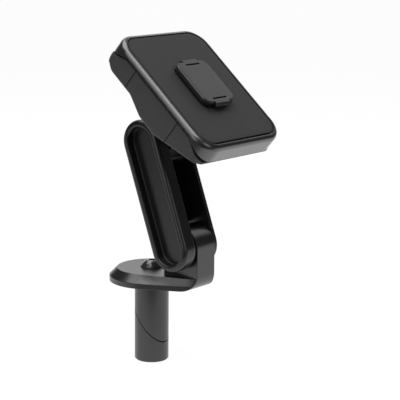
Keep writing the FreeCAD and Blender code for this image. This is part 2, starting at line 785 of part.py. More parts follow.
SPOT_ACROSS = "(housing_width / 2 - isolator_inset_across)"
SPOT_ALONG = "(face_shoulder - isolator_inset_along)"
SPOTS = {
    "upper_left": (f"-{SPOT_ACROSS}", f"-face_drop + {SPOT_ALONG}"),
    "upper_right": (SPOT_ACROSS, f"-face_drop + {SPOT_ALONG}"),
    "lower_left": (f"-{SPOT_ACROSS}", f"-face_drop - {SPOT_ALONG}"),
    "lower_right": (SPOT_ACROSS, f"-face_drop - {SPOT_ALONG}"),
}
SIDES = {"left": "-1", "right": "1"}
SCREW_SEAT = f"({FACE_BACK} - isolation_gap - isolator_seat - isolator_screw_grip)"
face_tools = [
    cylinder(f"face_hole_{spot}", "isolator_screw_diameter / 2", "isolator_screw_bite", None, x, y, FACE_BACK)
    for spot, (x, y) in SPOTS.items()
]
for side, sign in SIDES.items():
    place = {"x": f"{sign} * boss_screw_spacing / 2", "y": "-face_drop"}
    face_tools.append(
        cylinder(
            f"boss_screw_way_{side}",
            "boss_screw_diameter / 2 + screw_clearance",
            "face_side_depth",
            z=FACE_BACK,
            **place,
        )
    )
    face_tools.append(
        cylinder(
            f"boss_screw_sink_{side}",
            "boss_screw_head / 2 + screw_clearance",
            "2 * boss_screw_head_height",
            z=f"{FACE_BACK} - boss_screw_head_height",
            **place,
        )
    )
on_head(cut("face", face_body, face_tools), "face_plate")

pad_body = new_body("pad_body")
pad_outline = rounded_rectangle(
    pad_body,
    "pad_outline",
    "face_width - 2 * bezel_width - 2 * pad_gap",
    "face_length - 2 * bezel_width - 2 * pad_gap",
    "face_corner - bezel_width - pad_gap",
    PAD_FLOOR,
)
extrude(pad_body, "Pad", pad_outline, "pad_thickness")
boss_window = rounded_rectangle(
    pad_body,
    "boss_window",
    "boss_width - 2 * boss_undercut + 2 * boss_gap",
    "boss_length - 2 * boss_undercut + 2 * boss_gap",
    "boss_corner - boss_undercut + boss_gap",
    "face_height",
)
extrude(pad_body, "Pocket", boss_window, "2 * pad_thickness")
on_head(pad_body, "face_pad")

# Latch boss: a rounded slab on a narrower root, with a sprung lock tab in each end.
BOSS_TOP = "(face_height + boss_height)"
BOSS_STEP = "(face_height + boss_step)"
TAB_BASE = f"({BOSS_TOP} - tab_lip)"
TONGUE_TOP = f"({TAB_BASE} + tab_tongue_thickness - tab_lip / 2)"
TONGUE_BASE = f"({TONGUE_TOP} - tab_tongue_thickness)"
LIP_START = "(boss_length / 2 - tab_inset)"
LIP_END = "(boss_length / 2 + tab_reach)"
TONGUE_END = f"({LIP_START} - tab_tongue)"

boss_body = new_body("boss_body")
boss_root = rounded_rectangle(
    boss_body,
    "boss_root",
    "boss_width - 2 * boss_undercut",
    "boss_length - 2 * boss_undercut",
    "boss_corner - boss_undercut",
    PAD_FLOOR,
)
extrude(boss_body, "Pad", boss_root, "pad_thickness + boss_height")
boss_outline = rounded_rectangle(
    boss_body,
    "boss_outline",
    "boss_width",
    "boss_length",
    "boss_corner",
    BOSS_STEP,
)
extrude(boss_body, "Pad", boss_outline, "boss_height - boss_step")
boss_top_z = face_z + sizes["boss_height"]
soften(boss_body, "Fillet", "boss_edge", lambda edge: lies_at(edge, "z", boss_top_z))
ENDS = {"upper": ("1", 0), "lower": ("-1", 180)}
boss_tools = []
for end, (sign, angle) in ENDS.items():
    room = block(
        f"lip_room_{end}",
        "tab_width + 2 * tab_clearance",
        "boss_length",
        "2 * boss_height",
        y=f"-face_drop + {sign} * ({LIP_START} - tab_slot + boss_length / 2)",
        z=f"{TAB_BASE} - tab_clearance",
    )
    tongue_room = block(
        f"tongue_room_{end}",
        "tab_width + 2 * tab_clearance",
        "boss_length / 2 - latch_pillar / 2",
        "tab_tongue_thickness + 2 * tab_clearance",
        y=f"-face_drop + {sign} * (boss_length / 4 + latch_pillar / 4)",
        z=f"{TONGUE_BASE} - tab_clearance",
    )
    boss_tools += [room, tongue_room]
for side, sign in SIDES.items():
    boss_tools.append(
        cylinder(
            f"boss_thread_{side}",
            "boss_screw_diameter / 2",
            "boss_screw_bite",
            x=f"{sign} * boss_screw_spacing / 2",
            y="-face_drop",
            z=PAD_FLOOR,
        )
    )
on_head(cut("boss", boss_body, boss_tools), "latch_boss")


def boss_screw(side, sign):
    place = {"x": f"{sign} * boss_screw_spacing / 2", "y": "-face_drop"}
    head = cylinder(
        f"boss_screw_head_{side}",
        "boss_screw_head / 2",
        "boss_screw_head_height",
        z=FACE_BACK,
        **place,
    )
    length = "face_side_depth - pad_thickness + boss_screw_bite"
    shank = cylinder(f"boss_screw_shank_{side}", "boss_screw_diameter / 2", length, z=FACE_BACK, **place)
    return join(f"boss_screw_{side}", [head, shank])


boss_screws = doc.addObject("Part::Compound", "boss_screw_pair")
boss_screws.Links = [boss_screw(side, sign) for side, sign in SIDES.items()]
on_head(boss_screws, "boss_screws")


def lock_tab(end, angle):
    # A lip with a sloping nose on a flat tongue, drawn for the upper end and turned for the lower one.
    body = new_body(f"tab_body_{end}")
    outline = polygon(body, f"tab_outline_{end}", "YZ_Plane", [
        (TONGUE_END, TONGUE_BASE),
        (LIP_START, TONGUE_BASE),
        (LIP_START, TAB_BASE),
        (LIP_END, TAB_BASE),
        (LIP_END, f"{TAB_BASE} + tab_lip / 2"),
        (f"{LIP_END} - tab_lip / 2", BOSS_TOP),
        (LIP_START, BOSS_TOP),
        (LIP_START, TONGUE_TOP),
        (TONGUE_END, TONGUE_TOP),
    ])
    extrude(body, "Pad", outline, "tab_width", symmetric=True)
    body.Placement = Placement(Vector(0, 0, 0), Rotation(Z_AXIS, angle))
    shift(body, y="-face_drop")
    return body


for end, (sign, angle) in ENDS.items():
    tab = doc.addObject("Part::Compound", f"tab_{end}")
    tab.Links = [lock_tab(end, angle)]
    on_head(tab, f"lock_tab_{end}")
    pressed = f"({TONGUE_END} - latch_pillar / 2 - tab_travel - 2 * spring_clearance)"
    spring = coil(f"tab_spring_{end}", "tab_wire", "tab_spring_diameter", pressed, "tab_spring_turns")
    spring.Placement = Placement(Vector(0, 0, 0), Rotation(Z_AXIS, Y_AXIS if angle == 0 else -Y_AXIS))
    shift(
        spring,
        y=f"-face_drop + {sign} * (latch_pillar / 2 + spring_clearance + tab_wire / 2)",
        z=f"{TONGUE_BASE} + tab_tongue_thickness / 2",
    )
    holder = doc.addObject("Part::Compound", f"tab_spring_{end}")
    holder.Links = [spring]
    on_head(holder, f"tab_spring_{end}")

# Rear housing: the part common to a side outline, a plan outline and a tapered front outline.
HOUSING_TOP = f"({FACE_BACK} - isolation_gap)"
TIP_TOP = f"({HOUSING_TOP} - {END_SLOPE} * (housing_length / 2 - face_shoulder))"
TIP_LOW = f"({TIP_TOP} - housing_tip)"
CROWN = "(face_height - crown_depth)"
BELLY = "(face_height - belly_depth)"
# Side taper, carried on well above and below the housing.
TAPER = f"((housing_width - housing_back_width) / 2 / ({HOUSING_TOP} - {BELLY}))"
FRONT_WIDE = f"(housing_width / 2 + {TAPER} * belly_depth)"
FRONT_SLIM = f"(housing_back_width / 2 - {TAPER} * belly_depth)"
crown_z = sizes["face_height"] - sizes["crown_depth"]
belly_z = sizes["face_height"] - sizes["belly_depth"]


def hull(name):
    side = new_body(f"{name}_side")
    side_outline = polygon(side, f"{name}_side_outline", "YZ_Plane", [
        ("-face_drop + face_shoulder", HOUSING_TOP),
        ("-face_drop + housing_length / 2", TIP_TOP),
        ("-face_drop + housing_length / 2", TIP_LOW),
        ("-face_drop + crown_start", CROWN),
        ("-face_drop + crown_end", CROWN),
        ("-face_drop + belly_start", BELLY),
        ("-face_drop - belly_end", BELLY),
        ("-face_drop - housing_length / 2", TIP_LOW),
        ("-face_drop - housing_length / 2", TIP_TOP),
        ("-face_drop - face_shoulder", HOUSING_TOP),
    ])
    extrude(side, "Pad", side_outline, "2 * housing_width", symmetric=True)
    soften(
        side,
        "Fillet",
        "belly_blend",
        lambda edge: runs_across(edge) and edge.BoundBox.ZMax < crown_z + 1e-4,
    )
    plan = new_body(f"{name}_plan")
    plan_outline = rounded_rectangle(
        plan,
        f"{name}_plan_outline",
        "housing_width + 2 * housing_edge",
        "housing_length + 2 * housing_edge",
        "housing_corner",
        "0",
    )
    extrude(plan, "Pad", plan_outline, "face_height")
    front = new_body(f"{name}_front")
    front_outline = polygon(front, f"{name}_front_outline", "XZ_Plane", [
        (f"-{FRONT_WIDE}", f"{HOUSING_TOP} + belly_depth"),
        (f"-{FRONT_SLIM}", f"{BELLY} - belly_depth"),
        (FRONT_SLIM, f"{BELLY} - belly_depth"),
        (FRONT_WIDE, f"{HOUSING_TOP} + belly_depth"),
    ])
    extrude(front, "Pad", front_outline, "2 * housing_length", symmetric=True)
    raw = common(f"{name}_raw", [common(f"{name}_block", [side, plan]), front])
    doc.recompute()
    rounded = doc.addObject("Part::Fillet", name)
    rounded.Base = raw
    chosen = [i for i, edge in enumerate(raw.Shape.Edges, start=1) if on_flank(edge)]
    rounded.Edges = [(i, sizes["flank_radius"], sizes["flank_radius"]) for i in chosen]
    return rounded


def on_flank(edge):
    # True for a long edge where a tapered side meets the back of the housing.
    box = edge.BoundBox
    top = sizes["face_height"] - sizes["face_side_depth"] - sizes["isolation_gap"]
    flank = max(abs(box.XMin), abs(box.XMax)) > sizes["housing_back_width"] / 2 - sizes["housing_corner"]
    return flank and edge.Length > 3 and box.XLength < 2 and box.YLength > 2 and box.ZMax < top - 1


def runs_across(edge):
    # True for a straight edge along x.
    box = edge.BoundBox
    return box.XLength > 1 and box.YLength < 1e-4 and box.ZLength < 1e-4


neck_body = new_body("neck_body")
neck_outline = polygon(neck_body, "neck_outline", "YZ_Plane", [
    ("-ear_radius", "0"),
    ("ear_radius", "0"),
    ("neck_root / 2", f"{CROWN} + housing_edge"),
    ("-neck_root / 2", f"{CROWN} + housing_edge"),
])
extrude(neck_body, "Pad", neck_outline, "ear_width", symmetric=True)
knuckle = cylinder("knuckle", "ear_radius", "ear_width", X_AXIS, x="-ear_width / 2")
housing_form = join("housing_form", [hull("housing_hull"), neck_body, knuckle])

BUTTON_FACE = "(housing_width / 2 - button_thickness)"
POCKET_FACE = f"({BUTTON_FACE} - button_travel - button_gap)"
POST_END = f"({BUTTON_FACE} - post_length)"
housing_tools = [
    cylinder(
        "knuckle_bore",
        "pivot_diameter / 2 + running_clearance",
        "2 * ear_width",
        X_AXIS,
        x="-ear_width",
    )
]
for side, sign in SIDES.items():
    housing_tools.append(
        block(
            f"button_room_{side}",
            "housing_width",
            "button_length + 2 * button_gap",
            "2 * face_height",
            x=f"{sign} * ({POCKET_FACE} + housing_width / 2)",
        )
    )
    inward = X_AXIS * -int(sign)
    housing_tools.append(
        cylinder(
            f"post_way_{side}",
            "post_diameter / 2 + post_clearance",
            "post_length + 2 * button_travel",
            inward,
            x=f"{sign} * {BUTTON_FACE}",
            z="button_level",
        )
    )
    housing_tools.append(
        cylinder(
            f"spring_room_{side}",
            "button_spring_diameter / 2 + button_gap",
            "button_spring_seat",
            inward,
            x=f"{sign} * {POCKET_FACE}",
            z="button_level",
        )
    )
for spot, (x, y) in SPOTS.items():
    housing_tools.append(
        cylinder(
            f"isolator_room_{spot}",
            "isolator_diameter / 2",
            "face_height",
            None,
            x,
            y,
            f"{HOUSING_TOP} - isolator_seat",
        )
    )
    housing_tools.append(
        cylinder(
            f"screw_way_{spot}",
            "isolator_screw_diameter / 2 + screw_clearance",
            "face_height",
            None,
            x,
            y,
            SCREW_SEAT,
        )
    )
    housing_tools.append(
        cylinder(
            f"screw_sink_{spot}",
            "isolator_screw_head / 2 + screw_clearance",
            "face_height",
            None,
            x,
            y,
            f"{SCREW_SEAT} - face_height",
        )
    )
on_head(cut("housing", housing_form, housing_tools), "rear_housing")

for spot, (x, y) in SPOTS.items():
    rubber = cylinder(
        f"rubber_{spot}",
        "isolator_diameter / 2",
        "isolator_seat + isolation_gap",
        None,
        x,
        y,
        f"{HOUSING_TOP} - isolator_seat",
    )
    rubber_hole = cylinder(
        f"rubber_hole_{spot}",
        "isolator_screw_diameter / 2 + screw_clearance",
        "face_height",
        None,
        x,
        y,
        SCREW_SEAT,
    )
    on_head(cut(f"isolator_{spot}_cut", rubber, [rubber_hole]), f"isolator_{spot}")


def isolator_screw(spot, x, y):
    head = cylinder(
        f"isolator_head_{spot}",
        "isolator_screw_head / 2",
        "isolator_screw_diameter",
        None,
        x,
        y,
        f"{SCREW_SEAT} - isolator_screw_diameter",
    )
    shank = cylinder(
        f"isolator_shank_{spot}",
        "isolator_screw_diameter / 2",
        "isolator_screw_grip + isolator_seat + isolation_gap + isolator_screw_bite",
        None,
        x,
        y,
        SCREW_SEAT,
    )
    socket = hexagon(
        f"isolator_socket_{spot}",
        "isolator_screw_diameter * 5 / 6",
        "isolator_screw_diameter",
        None,
        x,
        y,
        f"{SCREW_SEAT} - 1.5 * isolator_screw_diameter",
    )
    return cut(f"isolator_screw_{spot}", join(f"isolator_bar_{spot}", [head, shank]), [socket])


isolator_screws = doc.addObject("Part::Compound", "isolator_screw_set")
isolator_screws.Links = [isolator_screw(spot, x, y) for spot, (x, y) in SPOTS.items()]
on_head(isolator_screws, "isolator_screws")

# Release buttons: slices of the housing's own form, each on a sprung guide post.
for side, sign in SIDES.items():
    slab = block(
        f"button_slab_{side}",
        "housing_width",
        "button_length",
        "2 * face_height",
        x=f"{sign} * ({BUTTON_FACE} + housing_width / 2)",
    )
    panel = common(f"button_panel_{side}", [hull(f"button_hull_{side}"), slab])
    inward = X_AXIS * -int(sign)
    post = cylinder(
        f"button_post_{side}",
        "post_diameter / 2",
        "post_length + button_thickness / 2",
        inward,
        x=f"{sign} * ({BUTTON_FACE} + button_thickness / 2)",
        z="button_level",
    )
    on_head(join(f"button_{side}", [panel, post]), f"release_button_{side}")
    spring = coil(
        f"button_spring_{side}",
        "button_wire",
        "button_spring_diameter",
        "button_spring_seat + button_gap - 2 * spring_clearance",
        "button_spring_turns",
    )
    spring.Placement = Placement(Vector(0, 0, 0), Rotation(Z_AXIS, -inward))
    floor = f"({POCKET_FACE} - button_spring_seat + spring_clearance)"
    shift(spring, x=f"{sign} * ({floor} + button_wire / 2)", z="button_level")
    holder = doc.addObject("Part::Compound", f"button_spring_holder_{side}")
    holder.Links = [spring]
    on_head(holder, f"button_spring_{side}")

doc.recompute()

broken = [item.Name for item in doc.Objects if "Invalid" in item.State or "Error" in item.State]
broken += [piece.Label for piece in pieces if piece.Shape.isNull() or not piece.Shape.isValid()]
if broken:
    raise RuntimeError("pieces that failed: " + ", ".join(broken))

os.makedirs("parts", exist_ok=True)
for piece in pieces:
    piece.Shape.exportStep(f"parts/{piece.Label}.step")
    solids = len(piece.Shape.Solids)
    print(f"{piece.Label}: {solids} solid, {piece.Shape.Volume:.1f} mm3")
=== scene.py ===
import bpy
import json
import numpy as np
from mathutils import Matrix, Vector


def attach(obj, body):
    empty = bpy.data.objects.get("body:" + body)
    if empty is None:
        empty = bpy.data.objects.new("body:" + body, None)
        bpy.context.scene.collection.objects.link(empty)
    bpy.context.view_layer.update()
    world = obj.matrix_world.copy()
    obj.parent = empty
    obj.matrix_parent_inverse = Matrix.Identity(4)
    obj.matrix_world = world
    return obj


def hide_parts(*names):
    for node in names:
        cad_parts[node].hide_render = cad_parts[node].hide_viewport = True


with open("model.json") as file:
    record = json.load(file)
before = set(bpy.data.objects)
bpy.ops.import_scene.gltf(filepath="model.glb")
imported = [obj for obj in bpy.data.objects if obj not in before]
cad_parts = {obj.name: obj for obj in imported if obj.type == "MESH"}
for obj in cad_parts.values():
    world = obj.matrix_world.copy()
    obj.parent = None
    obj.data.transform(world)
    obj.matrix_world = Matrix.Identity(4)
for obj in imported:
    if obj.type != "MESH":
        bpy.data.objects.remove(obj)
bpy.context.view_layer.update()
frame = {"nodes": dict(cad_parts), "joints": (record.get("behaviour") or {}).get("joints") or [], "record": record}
scene = bpy.context.scene
scene.view_settings.view_transform = "Standard"


# Camera, standing low on the rider's left

cameraSettings = {
    "place": (-0.6465, -0.5413, 0.2155),  # metres
    "azimuth": -51.95,  # degrees from +Y, below 0 towards +X
    "dip": 11.28,
    "roll": 0.52,
    "lens": 133.43,  # millimetres, as is the sensor
    "sensor": 36.0,
    "nearest": 0.01,
}


def placeCamera(settings):
    azimuth, dip, roll = (np.radians(settings[key]) for key in ("azimuth", "dip", "roll"))
    forward = np.array([-np.sin(azimuth) * np.cos(dip), np.cos(azimuth) * np.cos(dip), -np.sin(dip)])
    right = np.array([np.cos(azimuth), np.sin(azimuth), 0.0])
    up = np.cross(right, forward)
    across = right * np.cos(roll) + up * np.sin(roll)
    above = -right * np.sin(roll) + up * np.cos(roll)
    data = bpy.data.cameras.new("studioCamera")
    data.lens = settings["lens"]
    data.sensor_width = settings["sensor"]
    data.clip_start = settings["nearest"]
    camera = bpy.data.objects.new("studioCamera", data)
    turn = np.stack([across, above, -forward], axis=1)
    camera.matrix_world = Matrix.Translation(settings["place"]) @ Matrix(turn.tolist()).to_4x4()
    scene.collection.objects.link(camera)
    scene.camera = camera


placeCamera(cameraSettings)
print("camera placed")


# Helpers for meshes and node trees

def gridObject(name, points, closeU=False, closeV=False):
    # points[i, j] is a corner of the grid; quads join it to its neighbours, round the seam if closed
    rows, cols = points.shape[:2]
    rowStarts = np.arange(rows if closeU else rows - 1)
    colStarts = np.arange(cols if closeV else cols - 1)
    i, j = np.meshgrid(rowStarts, colStarts, indexing="ij")
    nextI, nextJ = (i + 1) % rows, (j + 1) % cols
    corners = [i * cols + j, nextI * cols + j, nextI * cols + nextJ, i * cols + nextJ]
    quads = np.stack(corners, axis=-1).reshape(-1, 4)
    mesh = bpy.data.meshes.new(name)
    mesh.from_pydata(points.reshape(-1, 3).tolist(), [], quads.tolist())
    mesh.polygons.foreach_set("use_smooth", np.ones(len(quads), dtype=bool))
    mesh.update()
    piece = bpy.data.objects.new(name, mesh)
    scene.collection.objects.link(piece)
    return piece


def linkNodes(tree, pairs):
    for start, end in pairs:
        tree.links.new(start, end)


def mathNode(tree, operation, first, second):
    node = tree.nodes.new("ShaderNodeMath")
    node.operation = operation
    for socket, value in zip(node.inputs, (first, second)):
        if hasattr(value, "is_linked"):
            tree.links.new(value, socket)
        else:
            socket.default_value = value
    return node.outputs[0]


# Paper sweep, world and lamps

studioSettings = {
    "floorHeight": -0.0482,  # just under the plug
    "paperColour": (0.90, 0.90, 0.90, 1.0),
    "paperSeen": 1.06,  # brightness of the lit paper to the eye
    "paperGlow": 1.0,  # and in reflections
    "shadowShare": 0.1,  # how much of the object's shadow the eye sees
    "wallDirection": -52.0,  # degrees from +Y, below 0 towards +X, behind the object
    "wallDistance": 2.2,
    "wallHeight": 2.4,
    "wallBend": 0.5,
    "frontReach": 0.15,
    "sideReach": (-1.0, 1.2),  # to the left and right of the object
    "bendPoints": 17,
    "sidePoints": 5,
    "worldLight": 0.08,
    "lamps": {
        # name: (place, aim, width, height, watts)
        "topSoftbox": ((-0.05, 0.30, 1.10), (0.0, -0.02, 0.06), 0.9, 0.9, 7.6),
        "keySoftbox": ((-0.42, -0.34, 1.05), (0.0, -0.02, 0.08), 0.9, 0.6, 5.6),
        "rightSoftbox": ((1.05, -0.20, 0.95), (0.0, -0.02, 0.10), 0.7, 0.7, 1.5),
        "leftSoftbox": ((-1.10, -0.05, 0.50), (0.0, -0.02, 0.06), 0.8, 1.2, 4.2),
        "frontSoftbox": ((-0.25, -1.20, 0.33), (0.0, -0.02, 0.08), 0.5, 0.6, 1.6),
    },
}


def sweepPaper(settings):
    # plain paper to the lamps, white to the eye and in reflections
    mat = bpy.data.materials.new("sweepPaper")
    mat.use_nodes = True
    tree = mat.node_tree
    tree.nodes.remove(tree.nodes["Principled BSDF"])
    paper = tree.nodes.new("ShaderNodeBsdfDiffuse")
    paper.inputs["Color"].default_value = settings["paperColour"]
    white = tree.nodes.new("ShaderNodeEmission")
    path = tree.nodes.new("ShaderNodeLightPath")
    camera, glossy = path.outputs["Is Camera Ray"], path.outputs["Is Glossy Ray"]
    extra = mathNode(tree, "MULTIPLY", camera, settings["paperSeen"] - settings["paperGlow"])
    seen = mathNode(tree, "MULTIPLY", camera, 1.0 - settings["shadowShare"])
    mix = tree.nodes.new("ShaderNodeMixShader")
    linkNodes(tree, [
        (mathNode(tree, "ADD", extra, settings["paperGlow"]), white.inputs["Strength"]),
        (mathNode(tree, "MAXIMUM", seen, glossy), mix.inputs["Fac"]),
        (paper.outputs[0], mix.inputs[1]),
        (white.outputs[0], mix.inputs[2]),
        (mix.outputs[0], tree.nodes["Material Output"].inputs["Surface"]),
    ])
    return mat


def buildSweep(settings):
    # profile s -> (ahead, up): flat floor, quarter circle, upright wall
    # P(s, w) = foot + ahead(s) * wallWay + w * sideWay + up(s) * Z
    bend, wall = settings["wallBend"], settings["wallDistance"]
    turn = np.linspace(0, np.pi / 2, settings["bendPoints"])
    start = wall - bend
    ahead = np.concatenate([[-settings["frontReach"], 0.0], start + bend * np.sin(turn), [wall]])
    up = np.concatenate([[0.0, 0.0], bend * (1 - np.cos(turn)), [settings["wallHeight"]]])
    side = np.linspace(*settings["sideReach"], settings["sidePoints"])
    angle = np.radians(settings["wallDirection"])
    wallWay = np.array([-np.sin(angle), np.cos(angle), 0.0])
    sideWay = np.array([np.cos(angle), np.sin(angle), 0.0])
    foot = np.array([0.0, 0.0, settings["floorHeight"]])
    points = foot + ahead[:, None, None] * wallWay + side[None, :, None] * sideWay
    points = points + up[:, None, None] * np.array([0.0, 0.0, 1.0])
    sweep = gridObject("studioSweep", points)
    sweep.data.materials.append(sweepPaper(settings))


def buildWorld(settings):
    # white to the eye, and a low even light on the object
    world = bpy.data.worlds.new("studioWorld")
    world.use_nodes = True
    scene.world = world
    tree = world.node_tree
    lit = tree.nodes["Background"]
    lit.inputs["Color"].default_value = (1, 1, 1, 1)
    path = tree.nodes.new("ShaderNodeLightPath")
    rest = mathNode(tree, "MULTIPLY", path.outputs["Is Camera Ray"], 1.0 - settings["worldLight"])
    tree.links.new(mathNode(tree, "ADD", rest, settings["worldLight"]), lit.inputs["Strength"])


def buildLamps(settings):
    for name, (place, aim, width, height, watts) in settings["lamps"].items():
        data = bpy.data.lights.new(name, "AREA")
        data.shape = "RECTANGLE"
        data.size = width
        data.size_y = height
        data.energy = watts
        lamp = bpy.data.objects.new(name, data)
        look = Vector(aim) - Vector(place)
        lamp.matrix_world = Matrix.Translation(place) @ look.to_track_quat("-Z", "Y").to_matrix().to_4x4()
        scene.collection.objects.link(lamp)


buildSweep(studioSettings)
buildWorld(studioSettings)
buildLamps(studioSettings)
print("studio built")


# Effects that several finishes share, each a node group

effectSettings = {
    "fineDetail": 2.0,
    "coarseDetail": 3.0,
    "coarseScale": 0.31,  # of the fine grain's scale
    "coarseShare": 0.4,  # of the fine grain's height
    "patchDetail": 4.0,
    "patchScale": 60.0,
    "edgeSamples": 6,
    "edgeGain": 4.0,
    "gapSamples": 8,
}


def newGroup(name, inputs, outputs):
    group = bpy.data.node_groups.new(name, "ShaderNodeTree")
    for label, kind, value in inputs:
        socket = group.interface.new_socket(name=label, in_out="INPUT", socket_type=kind)
        socket.default_value = value
    for label, kind in outputs:
        group.interface.new_socket(name=label, in_out="OUTPUT", socket_type=kind)
    return group, group.nodes.new("NodeGroupInput"), group.nodes.new("NodeGroupOutput")


def grainGroup(settings):
    # two sizes of noise added up: Height = fine + coarseShare * coarse; Patch is a wide, slow noise
    group, source, sink = newGroup(
        "fineGrain",
        [("Vector", "NodeSocketVector", (0, 0, 0)), ("Scale", "NodeSocketFloat", 3000.0)],
        [("Height", "NodeSocketFloat"), ("Patch", "NodeSocketFloat")],
    )
    fine = group.nodes.new("ShaderNodeTexNoise")
    fine.inputs["Detail"].default_value = settings["fineDetail"]
    coarse = group.nodes.new("ShaderNodeTexNoise")
    coarse.inputs["Detail"].default_value = settings["coarseDetail"]
    patch = group.nodes.new("ShaderNodeTexNoise")
    patch.inputs["Scale"].default_value = settings["patchScale"]
    patch.inputs["Detail"].default_value = settings["patchDetail"]
    coarseScale = mathNode(group, "MULTIPLY", source.outputs["Scale"], settings["coarseScale"])
    soft = mathNode(group, "MULTIPLY", coarse.outputs["Fac"], settings["coarseShare"])
    linkNodes(group, [
        (source.outputs["Vector"], fine.inputs["Vector"]),
        (source.outputs["Vector"], coarse.inputs["Vector"]),
        (source.outputs["Vector"], patch.inputs["Vector"]),
        (source.outputs["Scale"], fine.inputs["Scale"]),
        (coarseScale, coarse.inputs["Scale"]),
        (patch.outputs["Fac"], sink.inputs["Patch"]),
        (mathNode(group, "ADD", fine.outputs["Fac"], soft), sink.inputs["Height"]),
    ])
    return group


def edgeGroup(settings):
    # rounded normal near an edge, and a mask that grows where it leaves the flat normal, for edge wear and a
    # painted highlight:
    # Mask = edgeGain * (1 - round . flat), at most 1
    group, source, sink = newGroup(
        "edgeWearAndHighlight",
        [("Width", "NodeSocketFloat", 0.0004)],
        [("Normal", "NodeSocketVector"), ("Mask", "NodeSocketFloat")],
    )
    bevel = group.nodes.new("ShaderNodeBevel")
    bevel.samples = settings["edgeSamples"]
    flat = group.nodes.new("ShaderNodeNewGeometry")
    dot = group.nodes.new("ShaderNodeVectorMath")
    dot.operation = "DOT_PRODUCT"
    turned = mathNode(group, "SUBTRACT", 1.0, dot.outputs["Value"])
    mask = mathNode(group, "MULTIPLY", turned, settings["edgeGain"])
    linkNodes(group, [
        (source.outputs["Width"], bevel.inputs["Radius"]),
        (bevel.outputs["Normal"], dot.inputs[0]),
        (flat.outputs["Normal"], dot.inputs[1]),
        (bevel.outputs["Normal"], sink.inputs["Normal"]),
        (mathNode(group, "MINIMUM", mask, 1.0), sink.inputs["Mask"]),
    ])
    return group


def creviceGroup(settings):
    # painted shade in narrow gaps, from the share of open sky near a point: Mask = Strength * (1 - open), at most
    # 1
    group, source, sink = newGroup(
        "creviceShade",
        [("Reach", "NodeSocketFloat", 0.002), ("Strength", "NodeSocketFloat", 2.0)],
        [("Mask", "NodeSocketFloat")],
    )
    sky = group.nodes.new("ShaderNodeAmbientOcclusion")
    sky.samples = settings["gapSamples"]
    shut = mathNode(group, "SUBTRACT", 1.0, sky.outputs["AO"])
    mask = mathNode(group, "MULTIPLY", shut, source.outputs["Strength"])
    linkNodes(group, [
        (source.outputs["Reach"], sky.inputs["Distance"]),
        (mathNode(group, "MINIMUM", mask, 1.0), sink.inputs["Mask"]),
    ])
    return group


grain = grainGroup(effectSettings)
edges = edgeGroup(effectSettings)
crevices = creviceGroup(effectSettings)
print("effects made")


# Finishes, and which piece gets which

paintedGapShade = {
    "colour": (0.001, 0.001, 0.001, 1),  # painted shade at the bottom of a gap
    "rough": 0.95,
}
grainHeight = 0.00005  # metres, at a grainDepth of 1


def groupNode(tree, group, values):
    node = tree.nodes.new("ShaderNodeGroup")
    node.node_tree = group
    for label, value in values.items():
        node.inputs[label].default_value = value
    return node


def colourMix(tree):
    node = tree.nodes.new("ShaderNodeMix")
    node.data_type = "RGBA"
    return node


def finish(name, settings):
    # base colour lightened at edges by wear and a painted highlight, and darkened in gaps by painted shade;
    # roughness varied in patches, grain over a rounded normal
    mat = bpy.data.materials.new(name)
    mat.use_nodes = True
    tree = mat.node_tree
    shader = tree.nodes["Principled BSDF"]
    shader.inputs["Metallic"].default_value = settings["metal"]
    shader.inputs["Specular IOR Level"].default_value = settings["specular"]
    shader.inputs["Coat Weight"].default_value = settings["coat"]
    shader.inputs["Coat Roughness"].default_value = settings["rough"]
    place = tree.nodes.new("ShaderNodeTexCoord")
    grainNode = groupNode(tree, grain, {"Scale": settings["grainScale"]})
    edgeNode = groupNode(tree, edges, {"Width": settings["edgeWidth"]})
    gapShadeNode = groupNode(tree, crevices, {"Reach": settings["gapReach"], "Strength": settings["gapShade"]})
    colour = colourMix(tree)
    colour.inputs["A"].default_value = (*settings["colour"], 1)
    colour.inputs["B"].default_value = (*settings["wornAndHighlit"], 1)
    # painted shade: the crevice mask pulls the base colour towards near-black in gaps
    shaded = colourMix(tree)
    shaded.inputs["B"].default_value = paintedGapShade["colour"]
    # edge wear and painted highlight: the base colour is lightened along rounded edges, in patches
    wearAndHighlight = mathNode(tree, "MULTIPLY", edgeNode.outputs["Mask"], grainNode.outputs["Patch"])
    cloud = mathNode(tree, "MULTIPLY", grainNode.outputs["Patch"], settings["cloud"])
    smooth = mathNode(tree, "ADD", cloud, settings["rough"] - settings["cloud"] / 2)
    dull = mathNode(tree, "MULTIPLY", gapShadeNode.outputs["Mask"], paintedGapShade["rough"] - settings["rough"])
    bump = tree.nodes.new("ShaderNodeBump")
    bump.inputs["Strength"].default_value = settings["grainDepth"]
    bump.inputs["Distance"].default_value = grainHeight
    linkNodes(tree, [
        (place.outputs["Object"], grainNode.inputs["Vector"]),
        (wearAndHighlight, colour.inputs["Factor"]),
        (colour.outputs["Result"], shaded.inputs["A"]),
        (gapShadeNode.outputs["Mask"], shaded.inputs["Factor"]),
        (shaded.outputs["Result"], shader.inputs["Base Color"]),
        (mathNode(tree, "ADD", smooth, dull), shader.inputs["Roughness"]),
        (grainNode.outputs["Height"], bump.inputs["Height"]),
        (edgeNode.outputs["Normal"], bump.inputs["Normal"]),
        (bump.outputs["Normal"], shader.inputs["Normal"]),
    ])
    return mat


